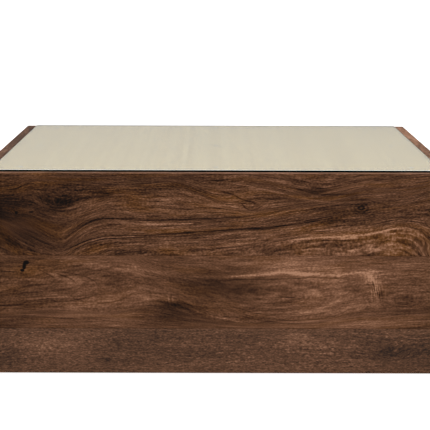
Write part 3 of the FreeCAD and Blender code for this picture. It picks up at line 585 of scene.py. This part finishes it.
            (0.14, (-0.345, 0.066, 0.070, 0.016)),
            (-0.12, (-0.440, 0.058, 0.020, 0.018)),
            (-0.12, (-0.230, 0.034, 0.025, 0.010)),
            (-0.12, (-0.132, 0.080, 0.012, 0.020)),
            (-0.10, (0.060, 0.074, 0.060, 0.018)),
            (0.16, (0.170, 0.090, 0.045, 0.008)),
            (-0.20, (0.365, 0.050, 0.030, 0.018)),
            (-0.10, (0.440, 0.040, 0.050, 0.030)),
            (-0.12, (-0.03, 0.045, 0.06, 0.012)),
        ],
        "strokes": [
            (0.24, 0.0022, [(0.350, 0.100), (0.370, 0.090), (0.385, 0.074), (0.395, 0.062)]),
            (0.24, 0.0016, [(0.380, 0.096), (0.400, 0.088), (0.430, 0.082), (0.470, 0.086)]),
            (0.22, 0.0014, [(0.375, 0.084), (0.400, 0.076), (0.430, 0.072), (0.470, 0.076)]),
            (-0.34, 0.0014, [(0.390, 0.094), (0.415, 0.088), (0.440, 0.088), (0.470, 0.094)]),
            (-0.30, 0.0014, [(0.400, 0.082), (0.420, 0.078), (0.450, 0.079), (0.480, 0.084)]),
            (0.16, 0.0016, [(0.080, 0.046), (0.16, 0.050), (0.22, 0.047), (0.30, 0.052)]),
            (-0.20, 0.0016, [(0.20, 0.034), (0.26, 0.038), (0.33, 0.036)]),
        ],
        "honey": 0.0,
    },
}
BOARD_SPANS = {"lower": (0.004, 0.102), "middle": (0.102, 0.260), "upper": (0.260, 0.436)}


def finish_planks():
    sides = (("front", "x"), ("right", "y"), ("back", "x"), ("left", "y"))
    for number, (side, along) in enumerate(sides):
        for level, span in BOARD_SPANS.items():
            name = "%s_%s_board" % (side, level)
            figure = FRONT_FIGURES[level]
            if side != "front":
                figure = plain_figure(10 * number + figure["seed"], *span)
            # Painted light, brighter from the right: the right side's planks are painted a little
            # lighter and their top edges get a stronger painted highlight, while the left side's
            # top edges get a weaker one.
            if side == "left":
                figure["worn"] = 0.06
            if side == "right":
                figure["shade"], figure["worn"] = 0.06, 0.30
            give(name, plank_wood("%s_%s_wood" % (side, level), along, figure))


def give(node, material):
    """Put a material in every slot of a part from the frame."""
    for slot in NODES[node].material_slots:
        slot.material = material


# ---------------------------------------------------------------- the frame and small parts

def pale_timber(name, light, dark, axis):
    """Plain planed timber for the frame inside: straight grain, a few rings, matt."""
    finish = Finish(name)
    x, y, z = finish.place()
    spread = {"x": (2.5, 60.0, 60.0), "y": (60.0, 2.5, 60.0), "z": (60.0, 60.0, 2.5)}[axis]
    grain = finish.noise(x * spread[0], y * spread[1], z * spread[2], 4.0, 0.6)
    fine = finish.noise(x * spread[0] * 9, y * spread[1] * 9, z * spread[2] * 9, 2.0)
    stain = finish.noise(x * 4.0, y * 4.0, z * 4.0, 2.0)
    tone = finish.step(grain + (fine - 0.5) * 0.35 + (stain - 0.5) * 0.3, 0.25, 0.80)
    colour = finish.add("ValToRGB", {"Fac": tone}, stops=[(0.0, dark), (1.0, light)])
    finish.set(Base_Color=colour, Roughness=0.62 + fine * 0.12)
    finish.bump(grain + fine * 0.4, 0.3, 0.0004)
    return finish.material


def plywood():
    """Birch plywood: a calm face with broad figure, and its layers on the edges."""
    finish = Finish("birch_plywood")
    x, y, z = finish.place()
    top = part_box("plywood_top")[1].z
    grain = finish.noise(x * 3.0, y * 40.0, z * 40.0, 4.0, 0.55)
    fine = finish.noise(x * 30.0, y * 420.0, z * 420.0)
    layer = ((top - z) / 0.0024).math("FRACT")
    stripe = finish.step(layer, 0.42, 0.58)
    normal = finish.add("NewGeometry", {}, output="Normal")
    upward = finish.add("SeparateXYZ", {0: normal}, output="Z").math("ABSOLUTE")
    on_edge = finish.step(upward, 0.2, 0.8, 1.0, 0.0)
    tone = finish.step(grain + (fine - 0.5) * 0.3 - stripe * on_edge * 0.5, 0.2, 0.8)
    stops = [(0.0, (0.25, 0.15, 0.07)), (1.0, (0.56, 0.40, 0.23))]
    colour = finish.add("ValToRGB", {"Fac": tone}, stops=stops)
    finish.set(Base_Color=colour, Roughness=0.6 + fine * 0.1)
    finish.bump(grain + fine * 0.5, 0.2, 0.0003)
    return finish.material


def plated_steel(name, colour, roughness):
    """Metal of screws, staples and nails: fine turning marks and a little dullness."""
    finish = Finish(name)
    x, y, z = finish.place()
    cloud = finish.noise(x * 300.0, y * 300.0, z * 300.0, 3.0)
    marks = finish.noise(x * 60.0, y * 60.0, z * 2600.0)
    shade = finish.blend(cloud, (*[c * 0.7 for c in colour], 1.0), (*colour, 1.0))
    finish.set(Base_Color=shade, Metallic=0.95 - cloud * 0.1)
    finish.set(Roughness=roughness + (cloud - 0.5) * 0.2)
    finish.bump(marks, 0.15, 0.0001)
    return finish.material


def soft_plastic(name, colour, roughness, depth=0.0):
    """Nylon or silicone: near-even colour with a faint moulded grain."""
    finish = Finish(name)
    x, y, z = finish.place()
    grain = finish.noise(x * 1500.0, y * 1500.0, z * 1500.0, 2.0)
    cloud = finish.noise(x * 90.0, y * 90.0, z * 90.0, 2.0)
    shade = finish.blend(cloud * 0.5, (*colour, 1.0), (*[c * 0.8 for c in colour], 1.0))
    finish.set(Base_Color=shade, Transmission_Weight=depth)
    finish.set(Roughness=roughness + (grain - 0.5) * 0.15)
    finish.bump(grain, 0.1, 0.0001)
    return finish.material


def finish_small_parts():
    frame_light, frame_dark = (0.50, 0.33, 0.17), (0.28, 0.16, 0.07)
    for axis, names in {
        "x": ["front_ledger", "back_ledger"],
        "y": ["left_ledger", "right_ledger", "left_rail", "right_rail"],
        "z": [node for node in NODES if node.endswith("_post")],
    }.items():
        timber = pale_timber("frame_timber_" + axis, frame_light, frame_dark, axis)
        for name in names:
            give(name, timber)
    birch = pale_timber("birch_spline_wood", (0.60, 0.44, 0.27), (0.45, 0.30, 0.16), "z")
    nylon = soft_plastic("glide_nylon", (0.035, 0.032, 0.030), 0.5)
    for name in NODES:
        if name.endswith("_mitre_spline"):
            give(name, birch)
        if name.endswith("_glide"):
            give(name, nylon)
    give("plywood_top", plywood())
    zinc = plated_steel("yellow_zinc", (0.72, 0.62, 0.38), 0.34)
    for name in ("post_screws", "ledger_screws", "plywood_screws", "rail_screws"):
        give(name, zinc)
    steel = plated_steel("bare_steel", (0.62, 0.62, 0.60), 0.30)
    give("wicker_staples", steel)
    give("glide_nails", steel)


# ---------------------------------------------------------------- the glass plate and its bumpers

ARRIS_LINE = 0.0005


def clear_glass():
    """Float glass: clear faces, a frosted arris painted pale with a painted highlight, and edges
    painted near-black and opaque as a painted shade.
    """
    finish = Finish("clear_glass")
    x, y, z = finish.place()
    smear = finish.noise(x * 7.0, y * 7.0, z, 3.0)
    tint = finish.blend(smear, (0.970, 0.988, 0.978, 1.0), (0.980, 0.992, 0.986, 1.0))
    finish.set(Base_Color=tint, Roughness=0.0, Transmission_Weight=1.0, IOR=1.50)

    # The edges are painted near-black and opaque with a faint green: the green is the glass's own
    # tint, and the darkness is a painted shade for how dark a glass edge looks.
    depth = finish.noise(x * 30.0, y * 30.0, z * 300.0)
    shade = finish.blend(depth, (0.0012, 0.0030, 0.0034, 1.0), (0.0020, 0.0065, 0.0070, 1.0))
    dull = {"Base Color": shade, "Roughness": 0.06, "Specular IOR Level": 0.05}
    edge = finish.add("BsdfPrincipled", dull)
    # The arris is painted pale and opaque: its own frosted white, made brighter as a painted
    # highlight.
    frost = finish.noise(x * 900.0, y * 900.0, z * 900.0, 2.0)
    white = finish.blend(frost, (0.70, 0.71, 0.66, 1.0), (0.86, 0.87, 0.82, 1.0))
    arris_frost_and_highlight = finish.add("BsdfPrincipled", {"Base Color": white, "Roughness": 0.45})

    normal = finish.add("NewGeometry", {}, output="True Normal")
    upward = finish.add("SeparateXYZ", {0: normal}, output="Z").math("ABSOLUTE")
    clear = finish.add("BsdfTransparent", {"Color": (0.955, 0.970, 0.962, 1.0)})
    bounced = finish.add("LightPath", {}, output="Is Diffuse Ray")
    shaded = finish.add("LightPath", {}, output="Is Shadow Ray")
    plate = finish.add("MixShader", {0: bounced, 1: finish.shader, 2: clear})
    plate = finish.add("MixShader", {0: shaded, 1: plate, 2: clear})
    line_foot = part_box("glass_top")[1].z - ARRIS_LINE
    on_arris = upward.math("GREATER_THAN", 0.3) * z.math("GREATER_THAN", line_foot)
    rim = finish.add("MixShader", {0: on_arris, 1: edge, 2: arris_frost_and_highlight})
    whole = finish.add("MixShader", {0: upward.math("LESS_THAN", 0.9), 1: plate, 2: rim})
    finish.feed(finish.output.inputs["Surface"], whole)
    return finish.material


def finish_plate():
    give("glass_top", clear_glass())
    give("glass_bumpers", soft_plastic("clear_silicone", (0.80, 0.82, 0.80), 0.25, 0.6))


# ---------------------------------------------------------------- the woven wicker

SHEET_LOW, SHEET_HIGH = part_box("wicker_sheet")
PLY_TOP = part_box("plywood_top")[1].z
STRANDS = 162
PITCH = (SHEET_HIGH.x - SHEET_LOW.x) / STRANDS
STRAND_WIDTH = PITCH * 0.97
STRAND_THICKNESS = 0.0007
LIFT = (SHEET_HIGH.z - PLY_TOP - STRAND_THICKNESS) / 2
MIDDLE = (SHEET_HIGH.z + PLY_TOP) / 2
FLAT_SHARE = 0.34
CROWN_SHARE = 0.62
STRANDS_A_PIECE = 54
STRAND_SHIFT = 0.010
STRAND_WIDTHS = (0.98, 1.01)
WRAP_THICKNESS = 0.0011
WRAP_BEVEL = 0.0004


def strand(over_first):
    """One strand along y, over and under the crossing ones: a section extruded and repeated."""
    half, low, high = STRAND_WIDTH / 2, -STRAND_THICKNESS / 2, STRAND_THICKNESS / 2
    upright = (math.pi / 2, 0, 0)
    bpy.ops.mesh.primitive_plane_add(size=1.0, location=(0.0, SHEET_LOW.y, 0.0), rotation=upright)
    piece = bpy.context.object
    bpy.ops.object.transform_apply()
    crown = half * CROWN_SHARE
    section = [(-half, low), (half, low), (crown, high), (-crown, high)]
    corners = sorted(piece.data.vertices, key=lambda v: math.atan2(v.co.z, v.co.x))
    order = sorted(section, key=lambda point: math.atan2(point[1] * half / high, point[0]))
    rise = LIFT if over_first else -LIFT
    for corner, (x, z) in zip(corners, order):
        corner.co = (x, SHEET_LOW.y, z + MIDDLE + rise)
    bpy.ops.object.mode_set(mode="EDIT")
    bpy.ops.mesh.select_all(action="SELECT")
    flat = PITCH * FLAT_SHARE
    slope = PITCH - 2 * flat
    moves = [(flat, 0.0), (slope, -2 * rise), (flat * 2, 0.0), (slope, 2 * rise), (flat, 0.0)]
    for length, climb in moves:
        bpy.ops.mesh.extrude_region_move(TRANSFORM_OT_translate={"value": (0.0, length, climb)})
    bpy.ops.mesh.delete(type="ONLY_FACE")
    bpy.ops.object.mode_set(mode="OBJECT")
    for face in piece.data.polygons:
        face.select = abs(face.normal.y) > 0.99
    bpy.ops.object.mode_set(mode="EDIT")
    bpy.ops.mesh.delete(type="ONLY_FACE")
    bpy.ops.object.mode_set(mode="OBJECT")
    repeat = piece.modifiers.new("crossings", "ARRAY")
    repeat.count = STRANDS // 2
    repeat.use_relative_offset = False
    repeat.use_constant_offset = True
    repeat.constant_offset_displace = (0.0, PITCH * 2, 0.0)
    repeat.use_merge_vertices = True
    repeat.merge_threshold = PITCH * 0.02
    bpy.ops.object.modifier_apply(modifier=repeat.name)
    bpy.ops.object.mode_set(mode="EDIT")
    bpy.ops.mesh.select_all(action="SELECT")
    bpy.ops.mesh.fill_holes(sides=4)
    bpy.ops.mesh.select_all(action="SELECT")
    bpy.ops.mesh.normals_make_consistent(inside=False)
    bpy.ops.object.mode_set(mode="OBJECT")
    bpy.ops.object.shade_smooth_by_angle(angle=math.radians(60))
    return piece


def lay_strands(name, models, turn, material):
    """Copy the two model strands side by side over the sheet, in pieces of a few dozen."""
    for number in range(STRANDS // STRANDS_A_PIECE):
        copies = []
        for step in range(number * STRANDS_A_PIECE, (number + 1) * STRANDS_A_PIECE):
            copy = models[step % 2].copy()
            copy.data = models[step % 2].data.copy()
            shift = random.uniform(-STRAND_SHIFT, STRAND_SHIFT) * PITCH
            across = SHEET_LOW.x + PITCH * (step + 0.5) + shift
            width = Matrix.Diagonal((random.uniform(*STRAND_WIDTHS), 1.0, 1.0, 1.0))
            copy.data.transform(turn @ Matrix.Translation((across, 0.0, 0.0)) @ width)
            bpy.context.collection.objects.link(copy)
            copies.append(copy)
        bpy.ops.object.select_all(action="DESELECT")
        for copy in copies:
            copy.select_set(True)
        bpy.context.view_layer.objects.active = copies[0]
        bpy.ops.object.join()
        piece = bpy.context.object
        piece.name = "wicker_%s_%d" % (name, number + 1)
        piece.data.name = piece.name
        piece.data.materials.clear()
        piece.data.materials.append(material)
        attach(piece, CARCASE)
        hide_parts("wicker_sheet")


def wicker_wrap(material):
    """The sheet's edge, wrapped round the plywood and turned under it: a bent band all round."""
    low = Vector((SHEET_LOW.x, SHEET_LOW.y, SHEET_LOW.z))
    high = Vector((SHEET_HIGH.x, SHEET_HIGH.y, PLY_TOP + 0.0002))
    bpy.ops.mesh.primitive_cube_add(size=1.0, location=(low + high) / 2, scale=high - low)
    piece = bpy.context.object
    bpy.ops.object.transform_apply(location=True, rotation=True, scale=True)
    bpy.ops.object.mode_set(mode="EDIT")
    bpy.ops.mesh.select_mode(type="FACE")
    bpy.ops.mesh.select_all(action="DESELECT")
    bpy.ops.object.mode_set(mode="OBJECT")
    for face in piece.data.polygons:
        face.select = face.normal.z > 0.5
    bpy.ops.object.mode_set(mode="EDIT")
    bpy.ops.mesh.delete(type="ONLY_FACE")
    bpy.ops.object.mode_set(mode="OBJECT")
    for face in piece.data.polygons:
        face.select = face.normal.z < -0.5
    bpy.ops.object.mode_set(mode="EDIT")
    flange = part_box("front_ledger")[1].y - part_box("front_ledger")[0].y - 0.003
    bpy.ops.mesh.inset(thickness=flange, use_even_offset=True, use_individual=True)
    bpy.ops.mesh.delete(type="FACE")
    bpy.ops.object.mode_set(mode="OBJECT")
    wall = piece.modifiers.new("wall", "SOLIDIFY")
    wall.thickness = WRAP_THICKNESS
    wall.offset = -1.0
    wall.use_even_offset = True
    bpy.ops.object.modifier_apply(modifier=wall.name)
    soft = piece.modifiers.new("soft_edge", "BEVEL")
    soft.width = WRAP_BEVEL
    soft.segments = 2
    bpy.ops.object.modifier_apply(modifier=soft.name)
    bpy.ops.object.shade_smooth_by_angle(angle=math.radians(40))
    piece.name = "wicker_wrap"
    piece.data.materials.append(material)
    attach(piece, CARCASE)
    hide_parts("wicker_sheet")


def wicker_fibre(name, along):
    """Dry plant fibre: pale straw, each strand its own shade, with fine streaks along it."""
    finish = Finish(name)
    x, y, z = finish.place()
    u, w = (y, x) if along == "y" else (x, y)
    number = ((w - SHEET_LOW.x) / PITCH).math("FLOOR")
    pick = {"Vector": finish.vector(number, 3.0, 5.0)}
    own = finish.add("TexWhiteNoise", pick, noise_dimensions="3D")
    length = finish.noise(u * 9.0 + number * 7.0, number, 0.0, 2.0)
    streaks = finish.noise(u * 40.0, w * 2600.0, z * 2600.0, 3.0, 0.6)
    broad = finish.noise(x * 3.0, y * 3.0, 0.0, 2.0)
    tone = own * 0.52 + length * 0.16 + streaks * 0.24 + broad * 0.06 - 0.025
    stops = [(0.0, (0.50, 0.355, 0.150)), (0.45, (0.755, 0.59, 0.315)), (1.0, (0.91, 0.765, 0.465))]
    colour = finish.add("ValToRGB", {"Fac": tone}, stops=stops)
    finish.set(Base_Color=colour, Roughness=0.50 + streaks * 0.2)
    finish.bump(streaks, 0.2, 0.0001)
    return finish.material


def weave_wicker():
    models = [strand(True), strand(False)]
    crossing = [models[1], models[0]]
    quarter = Matrix.Rotation(math.pi / 2, 4, "Z")
    lay_strands("warp", models, Matrix.Identity(4), wicker_fibre("wicker_warp_fibre", "y"))
    lay_strands("weft", crossing, quarter, wicker_fibre("wicker_weft_fibre", "x"))
    for model in models:
        bpy.data.objects.remove(model)
    wicker_wrap(wicker_fibre("wicker_wrap_fibre", "x"))


# ---------------------------------------------------------------- floor, light and camera

FLOOR_GLOW = 0.90
ROOM_LIGHT = ((0.0, 0.28), (0.22, 0.30), (0.6, 1.10))
BACKDROP_LIGHT = ((0.0, 0.43), (0.3, 0.46), (0.6, 1.10))
SOFTBOX = (3.0, 2.0)
LAMP_TARGET = Vector((0.0, 0.0, 0.3))
LENS = 139.2
CAMERA_SPOT = (-0.0094, -3.9846, 0.8800)
CAMERA_DOWN, CAMERA_YAW, CAMERA_ROLL = 8.7100, -0.115, 0.169


def stage():
    bpy.ops.mesh.primitive_plane_add(size=400.0, location=(0.0, 0.0, 0.0))
    floor = bpy.context.object
    floor.name = "studio_floor"
    finish = Finish("pale_floor")
    x, y, _ = finish.place()
    cloud = finish.noise(x * 0.8, y * 0.8, 0.0)
    paint = finish.blend(cloud, (0.58, 0.58, 0.58, 1.0), (0.62, 0.62, 0.62, 1.0))
    finish.set(Base_Color=paint, Roughness=0.9)
    finish.set(Emission_Color=(1.0, 1.0, 1.0, 1.0), Emission_Strength=FLOOR_GLOW)
    floor.data.materials.append(finish.material)


def greys(stops):
    return [(position, (level, level, level)) for position, level in stops]


def sky():
    """Soft studio light from all round: bright overhead, dim low down, a paler backdrop behind."""
    world = bpy.data.worlds.new("studio")
    world.use_nodes = True
    bpy.context.scene.world = world
    tree = world.node_tree
    nodes = tree.nodes
    spot = nodes.new("ShaderNodeTexCoord")
    split = nodes.new("ShaderNodeSeparateXYZ")
    room = nodes.new("ShaderNodeValToRGB")
    backdrop = nodes.new("ShaderNodeValToRGB")
    behind = nodes.new("ShaderNodeMapRange")
    mix = nodes.new("ShaderNodeMix")
    mix.data_type = "RGBA"
    set_stops(room.color_ramp, greys(ROOM_LIGHT))
    set_stops(backdrop.color_ramp, greys(BACKDROP_LIGHT))
    behind.inputs[1].default_value, behind.inputs[2].default_value = 0.0, 0.8
    tree.links.new(spot.outputs["Generated"], split.inputs[0])
    tree.links.new(split.outputs["Y"], behind.inputs[0])
    tree.links.new(split.outputs["Z"], room.inputs["Fac"])
    tree.links.new(split.outputs["Z"], backdrop.inputs["Fac"])
    tree.links.new(behind.outputs[0], mix.inputs[0])
    tree.links.new(room.outputs["Color"], mix.inputs[6])
    tree.links.new(backdrop.outputs["Color"], mix.inputs[7])
    tree.links.new(mix.outputs[2], nodes["Background"].inputs["Color"])
    nodes["Background"].inputs["Strength"].default_value = 1.0


def lamp(name, energy, position):
    """A softbox aimed at the table, which lights it but doesn't show in the glass."""
    light = bpy.data.lights.new(name, "AREA")
    light.energy = energy
    light.shape = "RECTANGLE"
    light.size, light.size_y = SOFTBOX
    holder = bpy.data.objects.new(name, light)
    aim = LAMP_TARGET - Vector(position)
    turned = aim.to_track_quat("-Z", "Y").to_matrix().to_4x4()
    holder.matrix_world = Matrix.Translation(position) @ turned
    holder.visible_glossy = False
    holder.visible_transmission = False
    bpy.context.collection.objects.link(holder)


def camera():
    data = bpy.data.cameras.new("view")
    data.sensor_width = 36.0
    data.lens = LENS
    data.clip_end = 200.0
    holder = bpy.data.objects.new("view", data)
    spot = Matrix.Translation(CAMERA_SPOT)
    turn = Matrix.Rotation(math.radians(CAMERA_YAW), 4, "Z")
    tilt = Matrix.Rotation(math.radians(90 - CAMERA_DOWN), 4, "X")
    roll = Matrix.Rotation(math.radians(CAMERA_ROLL), 4, "Z")
    holder.matrix_world = spot @ turn @ tilt @ roll
    bpy.context.collection.objects.link(holder)
    bpy.context.scene.camera = holder


camera()
sky()
stage()
lamp("top_softbox", 75.0, (0.5, -0.6, 3.2))
lamp("front_fill", 45.0, (1.5, -4.5, 2.0))
bpy.context.scene.view_settings.view_transform = "Standard"

finish_planks()
finish_small_parts()
finish_plate()
weave_wicker()
